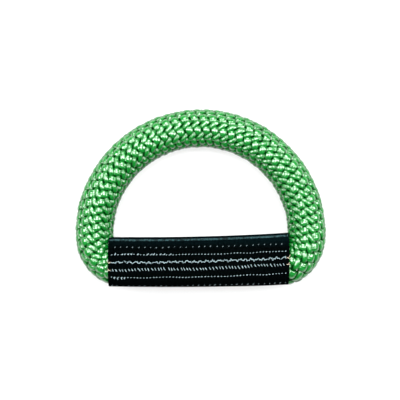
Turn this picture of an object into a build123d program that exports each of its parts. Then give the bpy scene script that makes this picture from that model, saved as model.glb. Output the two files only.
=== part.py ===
from build123d import *
import os
from math import asin, cos, degrees, pi, radians, sin, sqrt

# A short endless rope sling. One length of braided rope is bent into a D. Its two ends lie one
# over the other inside a wrapped webbing sleeve, and six rows of lockstitch hold the stack.
# Millimetres. The loop lies flat: the sleeve runs along X, the arch bows towards +Y, +Z is up.

# Rope
rope_r = 6.0                # round braided rope, 12 mm across
cover_wall = 1.6            # braided cover over the core
strands = 7                 # one core strand in the middle and six round it
strand_play = 0.1           # room between a core strand and its neighbours

# Course of the rope's centreline in the plane of the loop
arch_r = 33.6               # half circle
arch_rise = 8.8             # from the sleeve's axis up to the arch's centre
corner_r = 10.4             # where the rope turns into the sleeve
corner_drop = 0.6           # straight stretch between arch and corner
corner_turn = 58.0          # degrees turned before the rope starts to flatten

# The overlap, where each leg is pressed flat by the stitching
leg_half_wide = 6.9
leg_half_high = 3.6
leg_gap = 0.1               # between the two legs
flat_reach = 21.0           # from the middle to where a leg is fully flat
cut_reach = 20.6            # from the middle to a leg's heat-cut end
ease_in = 2.6               # stiffness of the course as it leaves the corner
ease_out = 3.6              # stiffness of the course as it lines up with the sleeve
steps = 5                   # sections through the stretch that flattens

# Sleeve
sleeve_long = 56.4
sleeve_wide = 15.8
sleeve_wall = 0.9
sleeve_bend = 5.1           # outer radius of the webbing's folds
seam_gap = 0.3              # the two selvages meet on the inner side
bite = 0.05                 # the sleeve's mouths press this much clear of the rope

# Stitching: rows from the inner side of the sleeve to the outer
thread_r = 0.25
row_y = (5.0, 2.5, 0.6, -1.5, -4.2, -6.7)
row_long = 55.4
lock_reach = 19.4           # from the middle to the stitches modelled through the stack

leg_z = leg_half_high + leg_gap / 2
sleeve_high = 2 * (leg_z + leg_half_high + leg_gap / 2 + sleeve_wall)
lean = asin((sleeve_high / 2 - rope_r) / (arch_rise + arch_r))
lean_plane = Plane.XY.rotated((-degrees(lean), 0, 0))
core_r = (rope_r - cover_wall) / 3


def ring_plane(x, y, heading, side):
    """Section plane on the leaning loop: x_dir points out of the loop, y_dir up."""
    at = lean_plane.from_local_coords(Vector(x, y, 0))
    along = lean_plane.from_local_coords(Vector(cos(heading), sin(heading), 0))
    out = along.cross(lean_plane.z_dir) * -side
    return Plane(origin=at, x_dir=out, z_dir=along * side)


def cut(plane, spot, r, wide=1.0, high=1.0):
    """The section of a bundle of fibres of radius r at spot (out, up) in the rope."""
    outline = Circle(r) if wide == high else Ellipse(r * wide, r * high)
    return plane * Pos(spot[0] * wide, spot[1] * high) * outline


def ease(t):
    return t * t * (3 - 2 * t)


def corner_end(side):
    """Where the rope leaves the corner arc: x, y and heading."""
    turned = radians(180 + corner_turn)
    x = (arch_r - corner_r - corner_r * cos(turned)) * side
    y = arch_rise - corner_drop + corner_r * sin(turned)
    down = radians(90 - corner_turn)
    heading = radians(180) + down if side > 0 else -down
    return x, y, heading


def flattening(spot, r, side):
    """From the round rope at the corner to the flat leg, leg A above and leg B below."""
    start = ring_plane(*corner_end(side), side)
    level = -side * leg_z
    ends = (start.origin, Vector(side * flat_reach, 0, level))
    pulls = (start.z_dir * side * ease_in, Vector(side * ease_out, 0, 0))
    course = Bezier(ends[0], ends[0] + pulls[0], ends[1] + pulls[1], ends[1])
    shapes = []
    for i in range(steps):
        t = i / (steps - 1)
        up = start.y_dir * (1 - t) + Vector(0, 0, t)
        along = start.z_dir * side * (1 - t) + Vector(-side * t, 0, 0)
        plane = Plane(origin=course @ t, x_dir=along.cross(up) * -side, z_dir=along * side)
        wide = 1 + (leg_half_wide / rope_r - 1) * ease(t)
        high = 1 + (leg_half_high / rope_r - 1) * ease(t)
        shapes.append(cut(plane, spot, r, wide, high))
    return loft(shapes)


def flat_leg(spot, r, side):
    """The pressed leg, from where it is fully flat to its cut end."""
    plane = Plane(
        origin=(side * flat_reach, 0, -side * leg_z), x_dir=(0, -1, 0), z_dir=(-1, 0, 0)
    )
    outline = cut(plane, spot, r, leg_half_wide / rope_r, leg_half_high / rope_r)
    return extrude(outline, side * (flat_reach + cut_reach))


def bundle(spot, r):
    """One bundle of the rope's fibres, followed from one cut end to the other."""
    up = lean_plane.z_dir
    arch_axis = Axis(lean_plane.from_local_coords(Vector(0, arch_rise, 0)), up)
    body = revolve(cut(ring_plane(arch_r, arch_rise, -pi / 2, 1), spot, r), arch_axis, 180)
    for side in (-1, 1):
        centre_x = side * (arch_r - corner_r)
        centre_y = arch_rise - corner_drop
        springing = cut(ring_plane(side * arch_r, arch_rise, -pi / 2, side), spot, r)
        down = lean_plane.y_dir * -1
        body += extrude(springing, corner_drop, dir=down)
        corner_axis = Axis(
            lean_plane.from_local_coords(Vector(centre_x, centre_y, 0)), up * -side
        )
        turn_start = cut(ring_plane(side * arch_r, centre_y, -pi / 2, side), spot, r)
        body += revolve(turn_start, corner_axis, corner_turn)
        body += flattening(spot, r, side)
        body += flat_leg(spot, r, side)
    return body


def core_spots():
    """Places of the core strands in the round rope's section."""
    spots = [(0.0, 0.0)]
    for i in range(strands - 1):
        turn = 2 * pi * i / (strands - 1)
        spots.append((2 * core_r * cos(turn), 2 * core_r * sin(turn)))
    return spots


def sleeve_tube(inner, outer, long):
    """A wrapped tube along X: inner and outer are how far each face is off the real one."""
    across = Plane.YZ.offset(-long / 2)
    shell = RectangleRounded(
        sleeve_wide + 2 * outer, sleeve_high + 2 * outer, sleeve_bend + outer
    )
    hollow = RectangleRounded(
        sleeve_wide - 2 * sleeve_wall + 2 * inner,
        sleeve_high - 2 * sleeve_wall + 2 * inner,
        sleeve_bend - sleeve_wall + inner,
    )
    return extrude(across * (shell - hollow), long)


def face_spot(y, depth):
    """The point depth below the sleeve's upper face at y, as (y, z)."""
    flat = sleeve_wide / 2 - sleeve_bend
    over = max(0.0, abs(y) - flat)
    rise = sqrt(sleeve_bend**2 - over**2)
    share = 1 - depth / sleeve_bend
    side = 1 if y > 0 else -1
    base = sleeve_high / 2 - sleeve_bend
    if over == 0:
        return y, sleeve_high / 2 - depth
    return side * (flat + over * share), base + rise * share


def row_thread(y, depth, face):
    """A thread's run along one face (1 upper, -1 lower) and its two stitches to mid-stack."""
    at_y, at_z = face_spot(y, depth)
    run_start = Plane(origin=(-row_long / 2, at_y, face * at_z), z_dir=(1, 0, 0))
    thread = extrude(run_start * Circle(thread_r), row_long)
    for x in (-lock_reach, lock_reach):
        stitch_start = Plane(origin=(x, at_y, 0), z_dir=(0, 0, face))
        thread += extrude(stitch_start * Circle(thread_r), at_z)
    return thread


def without(body, tools):
    """The body's one solid, less every tool."""
    return body.cut(*tools).solids().sort_by(SortBy.VOLUME)[-1]


threads = {}
for number, y in enumerate(row_y, 1):
    threads[f"needle_thread_{number}"] = row_thread(y, 0.0, 1)
    threads[f"bobbin_thread_{number}"] = row_thread(y, thread_r, -1)

seam = Pos(0, sleeve_wide / 2, 0) * Box(sleeve_long, 2 * sleeve_bend, seam_gap)
sleeve = (sleeve_tube(0, 0, sleeve_long) - seam) - list(threads.values())

mouth = sleeve_tube(-bite, bite, sleeve_long + 2 * bite)
rope_body = bundle((0, 0), rope_r) - bundle((0, 0), rope_r - cover_wall)
parts = {
    "rope_sheath": without(rope_body, [mouth, *threads.values()]),
    "sleeve_webbing": sleeve,
    **threads,
}
for number, spot in enumerate(core_spots(), 1):
    strand = bundle(spot, core_r - strand_play / 2)
    parts[f"core_strand_{number}"] = without(strand, list(threads.values()))

whole = Compound(children=[Compound(p.wrapped) for p in parts.values()]).bounding_box()
home = Pos(0, -whole.center().Y, -whole.min.Z)

os.makedirs("parts", exist_ok=True)
for name, part in parts.items():
    export_step(home * part, f"parts/{name}.step")

rope_long = pi * arch_r + 2 * (corner_drop + radians(corner_turn) * corner_r)
print("loop", whole.size, "rope in the open part", round(rope_long, 1))
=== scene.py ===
"""A short endless rope sling on a pale floor: green braided rope bent into a D, its overlapped
ends sewn inside a black webbing sleeve. Metres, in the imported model's own frame."""

import math

import bpy
import mathutils
import numpy as np
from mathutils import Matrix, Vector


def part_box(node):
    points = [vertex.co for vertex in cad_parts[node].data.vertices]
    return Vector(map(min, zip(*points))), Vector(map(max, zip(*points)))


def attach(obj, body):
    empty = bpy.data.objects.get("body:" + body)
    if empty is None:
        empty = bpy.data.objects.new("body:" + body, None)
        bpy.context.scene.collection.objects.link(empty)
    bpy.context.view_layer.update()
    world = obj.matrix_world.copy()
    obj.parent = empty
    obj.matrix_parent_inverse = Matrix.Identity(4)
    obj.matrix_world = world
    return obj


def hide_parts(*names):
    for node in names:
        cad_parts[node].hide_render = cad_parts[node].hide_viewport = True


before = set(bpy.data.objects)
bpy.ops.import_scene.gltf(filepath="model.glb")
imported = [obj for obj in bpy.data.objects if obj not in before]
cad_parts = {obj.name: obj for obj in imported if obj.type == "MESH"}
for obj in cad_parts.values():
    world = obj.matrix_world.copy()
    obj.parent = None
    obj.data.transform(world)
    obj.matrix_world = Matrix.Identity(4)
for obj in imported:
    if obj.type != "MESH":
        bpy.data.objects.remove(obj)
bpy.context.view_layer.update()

MM = 0.001
TURN = 2 * math.pi

# ---------------------------------------------------------------- places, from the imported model
sleeve_low, sleeve_high = (np.array(corner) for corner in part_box("sleeve_webbing"))
sleeve_mid = (sleeve_low + sleeve_high) / 2
sleeve_half = (sleeve_high - sleeve_low) / 2

# ---------------------------------------------------------------- driving sizes of the rope
ROPE_R = 6.0 * MM
CARRIERS = 8                # cover strands laid each way, each over one and under one
STITCH = 2.78 * MM          # from one stitch to the next along a column
LAY = STITCH * CARRIERS     # length of rope in one full turn of a cover strand
PULL = 2.4                  # how steeply a strand dives from over to under
SKEW = 2.2 * MM             # the outer side of the braid sits this far on along the rope
COLUMN_AT = math.radians(13)  # first column of stitches, from the outer side of the loop
STRAND_HALF_THICK = 0.80 * MM
WEAVE_RISE = 0.58 * MM      # how far a strand rises and dives
PACKING = 0.90              # width of a strand, as a share of the room it has
YARNS = 4                   # yarns side by side in a strand
YARN_GROOVE = 0.09          # depth between yarns, as a share of the strand's half thickness
CROWD_LEAST, CROWD_MOST = 0.45, 1.6  # room a strand has in a bend, as a share of the usual
CROWD_RISE = 0.4            # powers of that share by which crowded strands stand taller
CROWD_THICK = 0.25          # and grow thicker
RING_STEP = 0.18 * MM       # rope length between the rings of a strand's mesh
PROUD = 0.12 * MM           # the tallest stitches stand this far out of the plain rope
# The inner cover's dark green is painted shade, seen at the bottom of the gaps between the strands.
LINING_R = 4.42 * MM        # dark inner cover, seen at the bottom of the gaps
PRESSED_WIDE = 0.12         # how much wider the rope is inside the sleeve
PRESSED_FLAT = 0.40         # how much flatter it is there
PRESS_START = 28.2 * MM     # the pressing grows from here
PRESS_FULL = 21.0 * MM      # to here, measured from the sleeve's middle
MOUTH_OVERLAP = 1.5 * MM    # the free stretch's inner cover goes this far past where that starts
# Painted shade: the strands are painted darker on the inner side of the loop, which gets less of
# the light.
INNER_SHADE = 0.45          # how much darker the strands are on the inner side of the loop

# Control points of the rope's course from its cut end to the crown, in millimetres from the
# sleeve's middle, in the plane of the loop: along the sleeve, across it, and out of plane.
# The course is these points and their mirror image, with the two cut ends on opposite sides.
HALF_COURSE = [
    (-20.6, -0.1, 3.65),
    (0.0, -0.9, 3.65),
    (20.8, 0.0, 3.65),
    (23.6, -0.4, 3.2),
    (26.9, -1.7, 0.5),
    (30.0, 0.1, 0.0),
    (32.35, 2.9, 0.0),
    (33.6, 6.4, 0.0),
    (33.6, 11.4, 0.0),
    (32.35, 19.3, 0.0),
    (27.5, 28.8, 0.0),
    (20.0, 36.3, 0.0),
    (10.5, 41.15, 0.0),
]
CROWN = (0.0, 42.8, 0.0)
ARCH_RISE = 42.4 * MM       # from the sleeve's middle to the rope's middle at the crown
LEAN = math.asin((sleeve_half[2] - ROPE_R) / ARCH_RISE)

# ---------------------------------------------------------------- driving sizes of the sleeve
SLEEVE_SHIFT = -0.6 * MM    # the sleeve sits this far off the middle of the arch
WALL = 0.8 * MM             # thickness of the webbing
BEND = 5.1 * MM             # outer radius of the wrap's corners
MOUTH_DROP = 1.25 * MM      # how much the half height shrinks towards each mouth
MOUTH_REACH = 20.0 * MM     # and where that starts, from the middle
# The wrap's middle across the loop and its width, in millimetres: halfway between the mouths,
# the change from there to the right-hand mouth, and the bow shared by both mouths.
WRAP_LINE = (0.12, 0.46, 0.45)
WRAP_WIDE = (15.62, 0.42, 0.15)
WALK_WIDE = 15.4 * MM       # its mean width, for an even walk round the section
WALK_STEP = 0.3             # millimetres between the points of that walk
CLOTH_STEP = 0.16 * MM      # between the rings of the sleeve's mesh
END_INSET = 0.12 * MM       # the outside stops this far short of the cut ends
END_ROUND = 0.10 * MM       # the cut ends are rounded off by this much
HERRING_WIDE = 1.8          # millimetres of girth in a band of the herringbone
RIB_PITCH = 0.9             # millimetres from rib to rib
RIB_HIGH = 0.035 * MM
ROW_DIP = 0.11 * MM         # the cloth is drawn in this deep along a row of stitches
ROW_DIP_WIDE = 0.42 * MM
SEAM_DIP = 0.30 * MM        # and this deep where the webbing's edges meet
SEAM_DIP_WIDE = 0.35        # millimetres of girth
SELVAGE_ANGLE = 33.0        # degrees from the loop's side up towards the upper face
SELVAGE_LAY = 1.14 * MM     # length of one full twist of its two plies
SELVAGE_SPREAD = 0.20 * MM  # from its middle to the middle of a ply
SELVAGE_PLY_R = 0.17 * MM
SELVAGE_PROUD = 0.05 * MM

# ---------------------------------------------------------------- driving sizes of the stitching
# Each row of stitches on the face: millimetres across from the middle, how far it drifts from
# one mouth to the other, the kind of stitch, its pitch and the thread's radius.
ROWS = [
    (4.83, 0.46, "dots", 1.86, 0.085),
    (2.55, 0.28, "dashes", 1.0, 0.10),
    (0.35, 0.53, "waves", 2.0, 0.075),
    (-1.86, 0.93, "teeth", 1.0, 0.08),
    (-4.46, 0.38, "dashes", 1.0, 0.10),
    (-7.27, 0.15, "dots", 1.7, 0.08),
]
# How far each kind of stitch swings across its row, in millimetres.
SWING = {"dots": 0.15, "dashes": 0.05, "waves": 0.50, "teeth": 0.44}
# Its height over the cloth, in millimetres: the middle and the swing. Below 0 it is out of sight.
LIFT = {
    "dots": (-0.61, 0.50), "dashes": (-0.41, 0.35), "waves": (-0.05, 0.07), "teeth": (-0.14, -0.20),
}
# Loose loops beside a row: shares of the half length they run over, lean and signed length.
TAILS = {
    1: [((-0.95, -0.3), 0.45, 0.55)],
    4: [((-0.93, -0.78), -0.4, -0.6)],
}
# Thread ends at the mouths: which mouth, which row, and millimetres sideways and outwards.
MOUTH_TAILS = [
    (1, 2, 0.8, 1.3), (1, 2, -0.5, 1.5), (1, 3, 0.4, 1.1), (1, 3, -0.3, 1.3),
    (-1, 2, 0.2, 1.2), (-1, 2, -0.4, 0.9), (-1, 3, -0.4, 1.0), (-1, 3, 0.3, 1.1),
]
TAIL_R = 0.06 * MM
ROW_INSET = 0.9 * MM        # the rows stop this far short of the mouths
THREAD_STEP = 0.07 * MM     # between the rings of a thread's mesh
PLY_TURN = 0.9 * MM         # length of one full twist of a thread
PLY_DEPTH = 0.16            # height of its plies, as a share of the radius
END_TAPER = 0.35            # share of the radius left at a thread's very end


# ---------------------------------------------------------------- helpers
def unit(v):
    """Vectors of length one."""
    return v / np.linalg.norm(v, axis=-1, keepdims=True)


def ease(t):
    """0 to 1 with level ends."""
    t = np.clip(t, 0, 1)
    return t * t * (3 - 2 * t)


def smooth(values, reach):
    """A running mean over reach samples each way, with the ends held."""
    kernel = np.hanning(2 * reach + 3)[1:-1]
    kernel /= kernel.sum()
    columns = values.reshape(len(values), -1)
    padded = np.concatenate([columns[:1]] * reach + [columns] + [columns[-1:]] * reach)
    done = [np.convolve(padded[:, k], kernel, "valid") for k in range(columns.shape[1])]
    return np.stack(done, axis=1).reshape(values.shape)


def wander(rng, count, reach, size):
    """A smooth random line of that many samples, about size tall."""
    raw = smooth(rng.normal(size=count + 4 * reach), reach)[2 * reach : 2 * reach + count]
    return raw * size * math.sqrt(reach)


def mesh_object(name, points, faces, uv=None, painted_lighting=None):
    """A smooth mesh object. uv and the painted light and shade, a share from 0 to 1, hold one value
    per point.
    """
    mesh = bpy.data.meshes.new(name)
    mesh.from_pydata(np.asarray(points).tolist(), [], [list(face) for face in faces])
    mesh.shade_smooth()
    if uv is not None:
        layer = mesh.uv_layers.new(name="Along")
        loops = np.zeros(len(mesh.loops), int)
        mesh.loops.foreach_get("vertex_index", loops)
        layer.data.foreach_set("uv", np.asarray(uv, float)[loops].ravel())
    if painted_lighting is not None:
        shade = mesh.attributes.new("painted_lighting", "FLOAT", "POINT")
        shade.data.foreach_set("value", np.asarray(painted_lighting, float).ravel())
    obj = bpy.data.objects.new(name, mesh)
    bpy.context.collection.objects.link(obj)
    return obj


def tube_faces(rings, around, first=0):
    """Quads of a closed tube of that many rings and points around."""
    i = np.arange(rings - 1)[:, None] * around
    j = np.arange(around)[None, :]
    k = (j + 1) % around
    quads = np.stack([i + j, i + around + j, i + around + k, i + k], axis=-1)
    return quads.reshape(-1, 4) + first


def frames_along(path):
    """Tangent and two normals of a path, turned as little as possible."""
    tangent = unit(np.gradient(path, axis=0))
    side = np.cross(tangent, [0.0, 0.0, 1.0])
    side = np.where(np.linalg.norm(side, axis=1, keepdims=True) < 0.05, [0.0, 1.0, 0.0], side)
    side = unit(side)
    return tangent, side, np.cross(side, tangent)


def thread_mesh(name, paths, radius, around=6, plies=2):
    """Twisted thread along each path, with closed ends, as one mesh."""
    points, faces, uvs = [], [], []
    count = 0
    turn = np.linspace(0, TURN, around, endpoint=False)
    for path in paths:
        path = np.asarray(path, float) + [SLEEVE_SHIFT, 0, 0]
        tangent, side, over = frames_along(path)
        gone = np.concatenate([[0], np.cumsum(np.linalg.norm(np.diff(path, axis=0), axis=1))])
        ply = 1 + PLY_DEPTH * np.cos(plies * turn[None, :] - TURN * gone[:, None] / PLY_TURN)
        taper = np.minimum(1, END_TAPER + np.minimum(gone, gone[-1] - gone) / radius)
        r = radius * taper[:, None] * ply
        ring = (
            path[:, None]
            + (r * np.cos(turn))[:, :, None] * side[:, None]
            + (r * np.sin(turn))[:, :, None] * over[:, None]
        )
        points.append(ring.reshape(-1, 3))
        faces += tube_faces(len(path), around, count).tolist()
        faces.append(list(range(count, count + around)))
        last = count + (len(path) - 1) * around
        faces.append(list(range(last, last + around))[::-1])
        uv = np.stack(np.broadcast_arrays(turn[None, :] / TURN, gone[:, None] / (10 * MM)), axis=-1)
        uvs.append(uv.reshape(-1, 2))
        count += len(path) * around
    return mesh_object(name, np.concatenate(points), faces, np.concatenate(uvs))


# ---------------------------------------------------------------- the rope's course
def in_row(points_mm):
    """Loop-plane points in millimetres as points of the model's frame in metres."""
    p = np.asarray(points_mm, float) * MM
    y = p[:, 1] * math.cos(LEAN) + p[:, 2] * math.sin(LEAN)
    z = p[:, 2] * math.cos(LEAN) - p[:, 1] * math.sin(LEAN)
    return np.stack([p[:, 0], y, z], axis=1) + sleeve_mid


def course():
    """Evenly spaced points of the rope's course, read from its spline, and their lengths."""
    under = [(x, y, -z) for x, y, z in HALF_COURSE]
    left = in_row(HALF_COURSE) * [-1, 1, 1]
    right = in_row(under + [CROWN])
    control = np.concatenate([left, right[::-1]])
    data = bpy.data.curves.new("rope_course", "CURVE")
    data.dimensions = "3D"
    data.resolution_u = 40
    spline = data.splines.new("NURBS")
    spline.points.add(len(control) - 1)
    for point, place in zip(spline.points, control, strict=True):
        point.co = (*place, 1.0)
    spline.order_u = 3
    spline.use_endpoint_u = True
    bare = bpy.data.objects.new("rope_course", data)
    mesh = bpy.data.meshes.new_from_object(bare)
    line = np.array([v.co for v in mesh.vertices], float)
    bpy.data.meshes.remove(mesh)
    bpy.data.objects.remove(bare)
    bpy.data.curves.remove(data)
    gone = np.concatenate([[0], np.cumsum(np.linalg.norm(np.diff(line, axis=0), axis=1))])
    at = np.linspace(0, gone[-1], int(gone[-1] / RING_STEP) + 1)
    return at, np.stack([np.interp(at, gone, line[:, k]) for k in range(3)], axis=1)


along, line = course()
line = smooth(line, 4)
tangent = unit(np.gradient(line, axis=0))
loop_up = np.array([0, math.sin(LEAN), math.cos(LEAN)])
out = unit(np.cross(loop_up, tangent))
up = np.cross(tangent, out)
bend = smooth((np.gradient(tangent, along, axis=0) * -out).sum(axis=1), 8)

# Inside the sleeve the rope is pressed flat, from each mouth inwards.
from_crown = np.abs(along - along[-1] / 2)
past_arch = (from_crown > ARCH_RISE) & (np.abs(line[:, 0]) < PRESS_START)
free_half = from_crown[past_arch].min()
pressed = ease((from_crown - free_half) / (PRESS_START - PRESS_FULL))
wide = 1 + PRESSED_WIDE * pressed
high = 1 - PRESSED_FLAT * pressed


def along_rope(values, at):
    """One of the rope's series, read at other lengths along it."""
    columns = values.reshape(len(values), -1)
    read = [np.interp(at, along, columns[:, k]) for k in range(columns.shape[1])]
    return np.stack(read, axis=1).reshape(len(at), *values.shape[1:])


def round_rope(r, phi, at):
    """Points at radius r and angle phi round the rope, at those lengths along it."""
    flat_out = r * np.cos(phi) * along_rope(wide, at)
    flat_up = r * np.sin(phi) * along_rope(high, at)
    middle = along_rope(line, at)
    return middle + flat_out[:, None] * along_rope(out, at) + flat_up[:, None] * along_rope(up, at)


# ---------------------------------------------------------------- the rope's cover
SECTION_TOP = np.linspace(-1, 1, YARNS * 4 + 1)
SECTION_BELLY = [(0.72, -0.66), (0.27, -0.95), (-0.27, -0.95), (-0.72, -0.66)]


def strand_section():
    """Section of a strand, across and outwards: a crown of yarns over a plain belly."""
    crown = np.clip(1 - np.abs(SECTION_TOP * 0.97) ** 2, 0, 1) ** 0.5
    groove = YARN_GROOVE * (1 - np.abs(np.sin(SECTION_TOP * YARNS * math.pi / 2)))
    across = np.concatenate([SECTION_TOP, [x for x, _ in SECTION_BELLY]])
    outward = np.concatenate([crown - groove, [y for _, y in SECTION_BELLY]])
    return across, outward


def cover_strand(name, hand, number, rng):
    """One strand of the cover: a bundle of yarns that spirals round the rope and passes over
    one strand of the other hand, then under the next."""
    count = len(along)
    sway = wander(rng, count, 12, 0.035)
    turned = TURN * (number / CARRIERS + hand * along / LAY)
    phi = turned + COLUMN_AT + sway * 0.6
    wave = np.cos(CARRIERS * turned) * hand
    mid_r = ROPE_R - STRAND_HALF_THICK - WEAVE_RISE + PROUD
    crowd = np.clip(1 + bend * mid_r * np.cos(phi), CROWD_LEAST, CROWD_MOST)
    pulled = np.tanh(PULL * wave) / math.tanh(PULL)
    rise = WEAVE_RISE * pulled * crowd**-CROWD_RISE * (1 + wander(rng, count, 10, 0.10))
    at = np.clip(along + SKEW * np.cos(phi), 0, along[-1])
    centre = round_rope(mid_r + rise, phi, at)
    heading = unit(np.gradient(centre, axis=0))
    radial = np.cos(phi)[:, None] * along_rope(out, at) + np.sin(phi)[:, None] * along_rope(up, at)
    across = unit(np.cross(heading, radial))
    normal = np.cross(across, heading)
    lean = LAY / TURN - hand * SKEW * np.sin(phi)
    local = np.arctan2(mid_r / lean, crowd)
    half_wide = 0.5 * STITCH * PACKING * crowd * np.sin(local) * (1 + 0.05 * wave)
    half_wide = half_wide * (1 + wander(rng, count, 14, 0.05))
    half_thick = STRAND_HALF_THICK * crowd**-CROWD_THICK
    section_x, section_y = strand_section()
    points = (
        centre[:, None]
        + (half_wide[:, None] * section_x)[:, :, None] * across[:, None]
        + (half_thick[:, None] * section_y)[:, :, None] * normal[:, None]
    )
    rings, around = points.shape[:2]
    gone = np.concatenate([[0], np.cumsum(np.linalg.norm(np.diff(centre, axis=0), axis=1))])
    uv = np.stack(np.broadcast_arrays(section_x[None], gone[:, None] / (10 * MM)), axis=-1)
    faces = tube_faces(rings, around).tolist()
    faces.append(list(range(around))[::-1])
    faces.append(list(range((rings - 1) * around, rings * around)))
    # Painted shade: the strand is painted darker where it passes under, towards its edges and
    # inside the loop, where the braid's creases and the loop's inner side lie in shade.
    crown = np.sqrt(np.clip(1 - section_x**2, 0, 1))
    painted_lighting = np.clip(wave[:, None] * 1.1 + 0.25, 0, 1) * np.clip(crown[None] * 1.5 - 0.15, 0, 1)
    painted_lighting = painted_lighting * (1 - INNER_SHADE * np.clip(-np.cos(phi), 0, 1))[:, None]
    return mesh_object(name, points.reshape(-1, 3), faces, uv.reshape(-1, 2), painted_lighting)


def lining(name, rings):
    """A stretch of the inner cover under the strands, closed at both ends. Its dark green is
    painted shade at the bottom of the gaps.
    """
    at, around = along[rings], 40
    loops = [round_rope(LINING_R, TURN * k / around, at) for k in range(around)]
    points = np.stack(loops, axis=1)
    faces = tube_faces(len(points), around).tolist()
    faces.append(list(range(around))[::-1])
    faces.append(list(range((len(points) - 1) * around, len(points) * around)))
    return mesh_object(name, points.reshape(-1, 3), faces)


# ---------------------------------------------------------------- the sleeve
def bowed(middle_slope_bow, x):
    """Metres at x along the sleeve, from WRAP_LINE or WRAP_WIDE."""
    middle, slope, bow = middle_slope_bow
    t = x / sleeve_half[0]
    return (middle + slope * t + bow * t * t) * MM


def mouth_drop(x):
    """How much lower the half height is at x than in the middle of the sleeve."""
    return MOUTH_DROP * ease((np.abs(x) - MOUTH_REACH) / (sleeve_half[0] - MOUTH_REACH))


def wrap_middle(x):
    """Middle of the wrap's section at x: across the loop, and up. It follows the rope, which
    leaves the sleeve higher at one mouth and lower at the other."""
    return bowed(WRAP_LINE, x) + sleeve_mid[1], sleeve_mid[2] - 0.6 * np.sign(x) * mouth_drop(x)


def wrap_halves(x):
    """Half width and half height of the wrap's outside at x."""
    return bowed(WRAP_WIDE, x) / 2, sleeve_half[2] - mouth_drop(x)


def face_height(x, across, side=1):
    """Height of the wrap's outside at x, that far across from the local middle."""
    a, b = wrap_halves(x)
    _, mid_z = wrap_middle(x)
    past = np.clip(np.abs(across) - (a - BEND), 0, BEND)
    return mid_z + side * (b - BEND + np.sqrt(BEND**2 - past**2))


def wrap_walk(step):
    """Even walk round the wrap's section, from the middle of the loop's side over the upper face
    and back: shares of the straight core, across and up, and the outward normal."""
    flat_y, flat_z, arc = WALK_WIDE / 2 - BEND, sleeve_half[2] - BEND, BEND * math.pi / 2
    # A flat goes from one corner of the core to the next. A bend turns about its corner, from
    # that share of a full turn on.
    stretches = [
        ("flat", (1, 0), (1, 1), flat_z), ("bend", (1, 1), 0.0, arc),
        ("flat", (1, 1), (-1, 1), 2 * flat_y), ("bend", (-1, 1), 0.25, arc),
        ("flat", (-1, 1), (-1, -1), 2 * flat_z), ("bend", (-1, -1), 0.5, arc),
        ("flat", (-1, -1), (1, -1), 2 * flat_y), ("bend", (1, -1), 0.75, arc),
        ("flat", (1, -1), (1, 0), flat_z),
    ]
    core, normal = [], []
    turned = 0.0
    for kind, first, second, length in stretches:
        for t in np.arange(0, 1, 1 / max(1, round(length / step))):
            if kind == "flat":
                core.append([first[k] + (second[k] - first[k]) * t for k in range(2)])
                angle = turned * TURN
            else:
                core.append(list(first))
                angle = (second + t / 4) * TURN
            normal.append([math.cos(angle), math.sin(angle)])
        if kind == "bend":
            turned = second + 0.25
    return np.array(core), np.array(normal)


def wrap_points(x, core, normal, lift):
    """Points of the wrap's outside at each x, round the section, moved outwards by lift."""
    a, b = wrap_halves(x)
    mid_y, mid_z = wrap_middle(x)
    reach = BEND + lift
    y = mid_y[:, None] + (a - BEND)[:, None] * core[:, 0] + reach * normal[:, 0]
    z = mid_z[:, None] + (b - BEND)[:, None] * core[:, 1] + reach * normal[:, 1]
    return np.stack([np.broadcast_to(x[:, None], y.shape), y, z], axis=-1)


def row_line(row, x):
    """How far a row of stitches lies across from the wrap's middle at x."""
    across, drift = ROWS[row][:2]
    return (across + drift * x / sleeve_half[0] / 2) * MM


def cloth_relief(x, core, normal, walk_mm):
    """Height of the weave over the plain wrap: herringbone ribs, drawn in along the stitching."""
    band = np.floor(walk_mm / HERRING_WIDE)
    fold = np.abs(walk_mm / HERRING_WIDE - band - 0.5) * HERRING_WIDE
    rib = np.cos(TURN * (x[:, None] / MM + fold * 0.9 + 0.37 * band) / RIB_PITCH)
    height = RIB_HIGH * rib
    a, _ = wrap_halves(x)
    across = (a - BEND)[:, None] * core[:, 0] + BEND * normal[:, 0]
    for row in range(len(ROWS)):
        off = (across - row_line(row, x)[:, None]) / ROW_DIP_WIDE
        face = np.abs(normal[:, 1]) ** 0.5 * (np.abs(normal[:, 1]) > 0.2)
        height = height - ROW_DIP * np.exp(-off * off) * face
    seam = (walk_mm - walk_mm[-1] * np.round(walk_mm / walk_mm[-1])) / SEAM_DIP_WIDE
    return height - SEAM_DIP * np.exp(-seam * seam)


def sleeve_cloth():
    """The sewn wrap as one closed skin: woven outside, plain inside, rounded cut edges."""
    core, normal = wrap_walk(WALK_STEP * MM)
    around = len(core)
    walk_mm = np.arange(around) * WALK_STEP
    half = sleeve_half[0]
    x = np.linspace(-half + END_INSET, half - END_INSET, int(2 * half / CLOTH_STEP))
    relief = cloth_relief(x, core, normal, walk_mm)
    end = np.array([half])
    inner_x = x[::-8]
    skins = [
        wrap_points(x, core, normal, relief),
        wrap_points(end, core, normal, -END_ROUND),
        wrap_points(end, core, normal, -WALL + END_ROUND),
        wrap_points(inner_x, core, normal, -WALL),
        wrap_points(-end, core, normal, -WALL + END_ROUND),
        wrap_points(-end, core, normal, -END_ROUND),
        wrap_points(x[:1], core, normal, relief[:1]),
    ]
    rings = np.concatenate(skins)
    count = len(rings) - 1
    faces = tube_faces(len(rings), around)
    faces = np.where(faces >= count * around, faces - count * around, faces)
    girth = np.broadcast_to(walk_mm / 10, (count, around))
    reach = np.broadcast_to(rings[:count, :1, 0] / (10 * MM), (count, around))
    uv = np.stack([reach, girth], axis=-1)
    points = rings[:count].reshape(-1, 3) + [SLEEVE_SHIFT, 0, 0]
    return mesh_object("sleeve_cloth", points, faces, uv.reshape(-1, 2))


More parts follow.
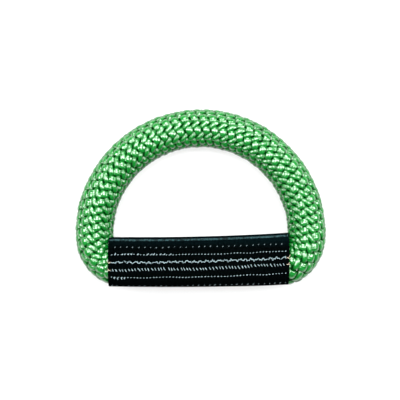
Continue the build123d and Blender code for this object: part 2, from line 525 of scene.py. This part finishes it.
def selvage():
    """The woven edge of the webbing: two plies twisted along the sleeve's loop side."""
    x = np.arange(-sleeve_half[0] + 0.3 * MM, sleeve_half[0] - 0.3 * MM, THREAD_STEP)
    a, b = wrap_halves(x)
    mid_y, mid_z = wrap_middle(x)
    angle = math.radians(SELVAGE_ANGLE)
    reach = BEND + SELVAGE_PROUD
    middle = np.stack(
        [x, mid_y + a - BEND + reach * math.cos(angle), mid_z + b - BEND + reach * math.sin(angle)],
        axis=1,
    )
    across = np.array([0, -math.sin(angle), math.cos(angle)])
    outward = np.array([0, math.cos(angle), math.sin(angle)])
    plies = []
    for start in (0, math.pi):
        turn = TURN * x / SELVAGE_LAY + start
        apart = np.cos(turn)[:, None] * across + np.sin(turn)[:, None] * outward
        plies.append(middle + SELVAGE_SPREAD * apart)
    return thread_mesh("sleeve_selvage", plies, SELVAGE_PLY_R, around=8, plies=3)


# ---------------------------------------------------------------- the stitching
def on_face(x, across, lift, side=1):
    """Points over the upper face (side 1) or the lower face (side -1), lifted off the cloth."""
    y = wrap_middle(x)[0] + across
    return np.stack([x, y, face_height(x, across, side) + side * lift], axis=1)


def saw_tooth(turn):
    """A zigzag from -1 to 1, once in a full turn."""
    return 2 / math.pi * np.arcsin(np.sin(turn))


def stitched(row, side, rng):
    """Paths of one row's thread on the upper face (side 1) or the lower face (side -1)."""
    _, _, kind, pitch, radius = ROWS[row]
    half_row = sleeve_half[0] - ROW_INSET
    x = np.arange(-half_row, half_row, THREAD_STEP)
    count = len(x)
    jitter = wander(rng, count, 16, 0.16)
    phase = TURN * x / (pitch * MM) + jitter * 2.2
    turn = phase + jitter * 3
    sideways = wander(rng, count, 60, 0.10)
    if kind in ("waves", "teeth"):
        saw, fine = saw_tooth(turn), saw_tooth(2.7 * phase + 1 + jitter * 9)
        shape = 0.65 * saw + 0.45 * fine if kind == "waves" else saw + 0.15 * fine
        shape = shape * (1 + wander(rng, count, 22, 0.15))
        rise_turn = 2 * phase if kind == "waves" else turn
        uneven = wander(rng, count, 12, 0.03)
    elif kind == "dots":
        shape, rise_turn = np.sin(2 * phase), phase
        uneven = wander(rng, count, 40, 0.012)
    else:
        shape, rise_turn = np.sin(phase), phase
        uneven = wander(rng, count, 20, 0.02)
    middle, swing = LIFT[kind]
    lift = (middle + swing * np.cos(rise_turn) + uneven) * MM
    across = row_line(row, x) + (sideways + SWING[kind] * shape) * MM
    paths = [on_face(x, across, lift, side)]
    t = np.linspace(0, 1, 7)
    arch = (0.02 + 0.10 * np.sin(math.pi * t)) * MM
    for (first, last), lean, length in TAILS.get(row, []):
        for spot in np.arange(first * sleeve_half[0], last * sleeve_half[0], pitch * MM):
            if rng.random() < 0.25:
                continue
            reach = length * MM * rng.uniform(0.6, 1.15)
            tail_x = spot + rng.normal() * 0.12 * MM + t * lean * reach
            paths.append(on_face(tail_x, row_line(row, tail_x) + t * reach, arch, side))
    return paths, radius * MM


def mouth_tails():
    """Ends of the bright threads that stick out of the mouths over the rope."""
    paths = []
    t = np.linspace(0, 1, 14)
    for end, row, lean, reach in MOUTH_TAILS:
        x = end * (sleeve_half[0] - ROW_INSET + t * reach * MM)
        start = row_line(row, x[:1])
        sideways = (lean * t * t + 0.15 * np.sin(5 * t + row)) * MM
        lift = (0.12 + 0.25 * np.sin(math.pi * t) - 0.5 * t * t) * MM
        y = wrap_middle(x[:1])[0] + start + sideways
        paths.append(np.stack([x, y, face_height(x[:1], start) + lift], axis=1))
    return thread_mesh("thread_tails", paths, TAIL_R)


# ---------------------------------------------------------------- materials
FIBRE_IOR = 1.62            # of the rope's fibres; with specular level 1 they shine a little more
LESS_GLOSS = 0.1            # specular level left in the creases of the braid
BUMP_HIGH = 0.1 * MM        # height of the fine relief on fibres and webbing
WEAVE_GRAIN = 17.5          # grains of the webbing's weave in ten millimetres
SPECKLES = 1500             # speckles of the selvage in a metre
# Painted sheen on the sleeve's face, along the edge beside the loop.
PAINTED_SHEEN_FROM, PAINTED_SHEEN_TO = 0.74, 0.97  # share of the sleeve's width where its face turns paler


def material(name, base, roughness, specular):
    """A plain material, with its node tree and its shader."""
    mat = bpy.data.materials.new(name)
    mat.use_nodes = True
    shader = mat.node_tree.nodes["Principled BSDF"]
    shader.inputs["Base Color"].default_value = (*base, 1)
    shader.inputs["Roughness"].default_value = roughness
    shader.inputs["Specular IOR Level"].default_value = specular
    return mat, mat.node_tree, shader


def node(tree, kind, **values):
    """A node with its inputs set by name, spaces written as underscores."""
    made = tree.nodes.new(kind)
    for key, value in values.items():
        made.inputs[key.replace("_", " ")].default_value = value
    return made


def mapped(tree, output, scale):
    """Texture coordinates, stretched."""
    coordinates = tree.nodes.new("ShaderNodeTexCoord")
    mapping = node(tree, "ShaderNodeMapping", Scale=scale)
    tree.links.new(coordinates.outputs[output], mapping.inputs["Vector"])
    return mapping.outputs["Vector"]


def noise(tree, vector, detail=2.0, roughness=0.5):
    """Shares from 0 to 1, one grain to a unit of the vector."""
    made = node(tree, "ShaderNodeTexNoise", Scale=1.0, Detail=detail, Roughness=roughness)
    tree.links.new(vector, made.inputs["Vector"])
    return made.outputs["Fac"]


def ramp(tree, factor, stops):
    """Colours between positions from 0 to 1."""
    made = tree.nodes.new("ShaderNodeValToRGB")
    elements = made.color_ramp.elements
    while len(elements) < len(stops):
        elements.new(0.5)
    for element, (place, colour) in zip(elements, stops, strict=True):
        element.position = place
        element.color = (*colour, 1)
    tree.links.new(factor, made.inputs["Fac"])
    return made.outputs["Color"]


def blended(tree, factor, first, second):
    """The first colour where factor is 0, the second where it is 1."""
    made = tree.nodes.new("ShaderNodeMix")
    made.data_type = "RGBA"
    for output, name in ((factor, "Factor"), (first, "A"), (second, "B")):
        if isinstance(output, tuple):
            made.inputs[name].default_value = (*output, 1)
        else:
            tree.links.new(output, made.inputs[name])
    return made.outputs["Result"]


def bumped(tree, shader, height, strength):
    """A fine relief on the shader's surface."""
    made = node(tree, "ShaderNodeBump", Strength=strength, Distance=BUMP_HIGH)
    tree.links.new(height, made.inputs["Height"])
    tree.links.new(made.outputs["Normal"], shader.inputs["Normal"])


def fibre_material(name, dark, light, roughness, specular, fibres):
    """Bundled filaments that run along a strand or a thread, that many across a unit of UV."""
    mat, tree, shader = material(name, light, roughness, specular)
    lines = noise(tree, mapped(tree, "UV", (fibres / 2, 2.2, 1)), 3.0, 0.6)
    colour = ramp(tree, lines, [(0.30, dark), (0.62, light)])
    tree.links.new(colour, shader.inputs["Base Color"])
    bumped(tree, shader, lines, 0.07)
    return mat, tree, shader, colour


# Painted shade: the rope's fibres are painted darker, and are less glossy, in the creases, at the
# strands' edges and inside the loop.
green, tree, shader, colour = fibre_material(
    "rope_green", (0.0008, 0.085, 0.006), (0.0025, 0.19, 0.020), 0.20, 1.0, fibres=26.0
)
shader.inputs["IOR"].default_value = FIBRE_IOR
painted_lighting = node(tree, "ShaderNodeAttribute")
painted_lighting.attribute_name = "painted_lighting"
# A near black green where the strands pass under: painted shade.
shaded = blended(tree, painted_lighting.outputs["Fac"], (0.0005, 0.040, 0.003), colour)
tree.links.new(shaded, shader.inputs["Base Color"])
gloss = node(tree, "ShaderNodeMapRange", To_Min=LESS_GLOSS, To_Max=1.0)
tree.links.new(painted_lighting.outputs["Fac"], gloss.inputs["Value"])
tree.links.new(gloss.outputs["Result"], shader.inputs["Specular IOR Level"])

# Painted shade: the inner cover is a near black green, for the shade at the bottom of the gaps.
deep, _, _ = material("cover_inner_painted_shade", (0.001, 0.045, 0.006), 0.8, 0.1)
white, *_ = fibre_material("core_white", (0.6, 0.6, 0.55), (0.85, 0.85, 0.8), 0.6, 0.3, 26.0)
light, *_ = fibre_material("thread_light", (0.12, 0.17, 0.19), (0.40, 0.54, 0.58), 0.5, 0.3, 8.0)
# A darker copy of the thread: painted shade for the outer rows of dots, which turn away from the
# light.
shaded_thread, *_ = fibre_material("thread_painted_shade", (0.05, 0.07, 0.075), (0.20, 0.26, 0.28), 0.5, 0.3, 8.0)
cream, *_ = fibre_material("thread_cream", (0.30, 0.24, 0.16), (0.50, 0.42, 0.32), 0.6, 0.3, 8.0)

# The webbing is close to black. A painted sheen makes its face a little paler and bluer along the
# edge beside the loop, where the light from the top catches it.
black, tree, shader = material("sleeve_black", (0.0004, 0.0008, 0.0009), 0.5, 0.0)
weave = noise(tree, mapped(tree, "UV", (WEAVE_GRAIN, WEAVE_GRAIN, 1)))
plain = ramp(tree, weave, [(0.3, (0.0001, 0.0003, 0.0003)), (0.7, (0.0008, 0.0014, 0.0016))])
painted_sheen = ramp(tree, weave, [(0.3, (0.0003, 0.0016, 0.0020)), (0.7, (0.0016, 0.0060, 0.0070))])
apart = node(tree, "ShaderNodeSeparateXYZ")
tree.links.new(node(tree, "ShaderNodeTexCoord").outputs["Generated"], apart.inputs["Vector"])
fade = ramp(tree, apart.outputs["Y"], [(PAINTED_SHEEN_FROM, (0, 0, 0)), (PAINTED_SHEEN_TO, (1, 1, 1))])
tree.links.new(blended(tree, fade, plain, painted_sheen), shader.inputs["Base Color"])
bumped(tree, shader, weave, 0.5)

# The woven edge is painted teal grey with lighter speckles: a painted sheen where the light from
# the top catches the sleeve's upper edge.
edge, tree, shader = material("selvage_painted_sheen", (0.022, 0.060, 0.066), 0.5, 0.1)
speckle = noise(tree, mapped(tree, "Object", (SPECKLES, SPECKLES, SPECKLES)))
sheen_greys = ramp(tree, speckle, [(0.40, (0.003, 0.009, 0.010)), (0.62, (0.030, 0.076, 0.083))])
tree.links.new(sheen_greys, shader.inputs["Base Color"])

# ---------------------------------------------------------------- building the rope
# The strands run from cut end to cut end. The inner cover is in three stretches: the rope that
# shows, a little past each mouth, and the two legs inside the sleeve. It needs fewer rings.
rng = np.random.default_rng(7)
free_rings = np.flatnonzero(from_crown <= free_half + MOUTH_OVERLAP)
free = slice(free_rings[0], free_rings[-1] + 1, 3)
cover = lining("cover_lining", free)
leg_upper = lining("leg_lining_upper", slice(0, free.start + 1, 6))
leg_lower = lining("leg_lining_lower", slice(free.stop - 1, len(along), 6))
for piece in (cover, leg_upper, leg_lower):
    piece.data.materials.append(deep)
    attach(piece, "root")

for hand, letter in ((1, "s"), (-1, "z")):
    for number in range(CARRIERS):
        strand = cover_strand(f"cover_strand_{letter}_{number + 1}", hand, number, rng)
        strand.data.materials.append(green)
        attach(strand, "root")

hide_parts("rope_sheath")

# ---------------------------------------------------------------- building the sleeve
cloth = sleeve_cloth()
cloth.data.materials.append(black)
woven_edge = selvage()
woven_edge.data.materials.append(edge)
for piece in (cloth, woven_edge):
    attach(piece, "root")
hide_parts("sleeve_webbing")

for row in range(len(ROWS)):
    for side, label in ((1, "needle"), (-1, "bobbin")):
        paths, radius = stitched(row, side, rng)
        thread = thread_mesh(f"{label}_stitches_{row + 1}", paths, radius, around=6)
        # The rows of dots take the darker copy of the thread, as painted shade.
        thread.data.materials.append(shaded_thread if ROWS[row][2] == "dots" else light)
        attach(thread, "root")
        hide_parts(f"{label}_thread_{row + 1}")

tails = mouth_tails()
tails.data.materials.append(cream)
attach(tails, "root")

for name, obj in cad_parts.items():
    if name.startswith("core_strand"):
        obj.data.materials.clear()
        obj.data.materials.append(white)

# ---------------------------------------------------------------- floor, light, camera
bpy.ops.mesh.primitive_plane_add(size=1.2, location=(0, 0, 0))
floor = bpy.context.object
floor.name = "floor"
paper, _, shader = material("floor_paper", (0.28, 0.28, 0.28), 0.9, 0.1)
shader.inputs["Emission Color"].default_value = (1, 1, 1, 1)
shader.inputs["Emission Strength"].default_value = 0.58  # the photo's ground is plain white
floor.data.materials.append(paper)

world = bpy.data.worlds.new("studio")
bpy.context.scene.world = world
world.use_nodes = True
background = world.node_tree.nodes["Background"]
background.inputs["Color"].default_value = (1, 1, 1, 1)
background.inputs["Strength"].default_value = 0.10

MIDDLE_HIGH = 8 * MM        # height of the sling's middle
AIM = (0, 10 * MM, MIDDLE_HIGH)
SOFTBOX = (0.26, 0.22)


def lamp(name, place, size, watts):
    """A soft rectangular light that faces the middle of the sling."""
    data = bpy.data.lights.new(name, "AREA")
    data.energy = watts
    data.shape = "RECTANGLE"
    data.size, data.size_y = size
    obj = bpy.data.objects.new(name, data)
    bpy.context.collection.objects.link(obj)
    obj.location = place
    look = mathutils.Vector(AIM) - mathutils.Vector(place)
    obj.rotation_euler = look.to_track_quat("-Z", "Y").to_euler()


lamp("overhead", (0.0, 0.06, 0.50), (0.30, 0.26), 3.3)
lamp("far_softbox", (0.0, 0.37, 0.33), SOFTBOX, 2.4)
lamp("left_softbox", (-0.35, 0.05, 0.33), SOFTBOX, 2.4)
lamp("right_softbox", (0.35, 0.05, 0.33), SOFTBOX, 2.4)

camera_data = bpy.data.cameras.new("camera")
camera = bpy.data.objects.new("camera", camera_data)
bpy.context.collection.objects.link(camera)
PICTURE_WIDE = 126.3 * MM   # what the picture spans at the height of the sling's middle
DISTANCE = 0.45             # from there up to the camera, which looks straight down
camera.location = (-0.2 * MM, -0.7 * MM, DISTANCE + MIDDLE_HIGH)
camera_data.lens = camera_data.sensor_width * DISTANCE / PICTURE_WIDE
camera_data.clip_start = 0.01
bpy.context.scene.camera = camera
bpy.context.scene.view_settings.view_transform = "Standard"
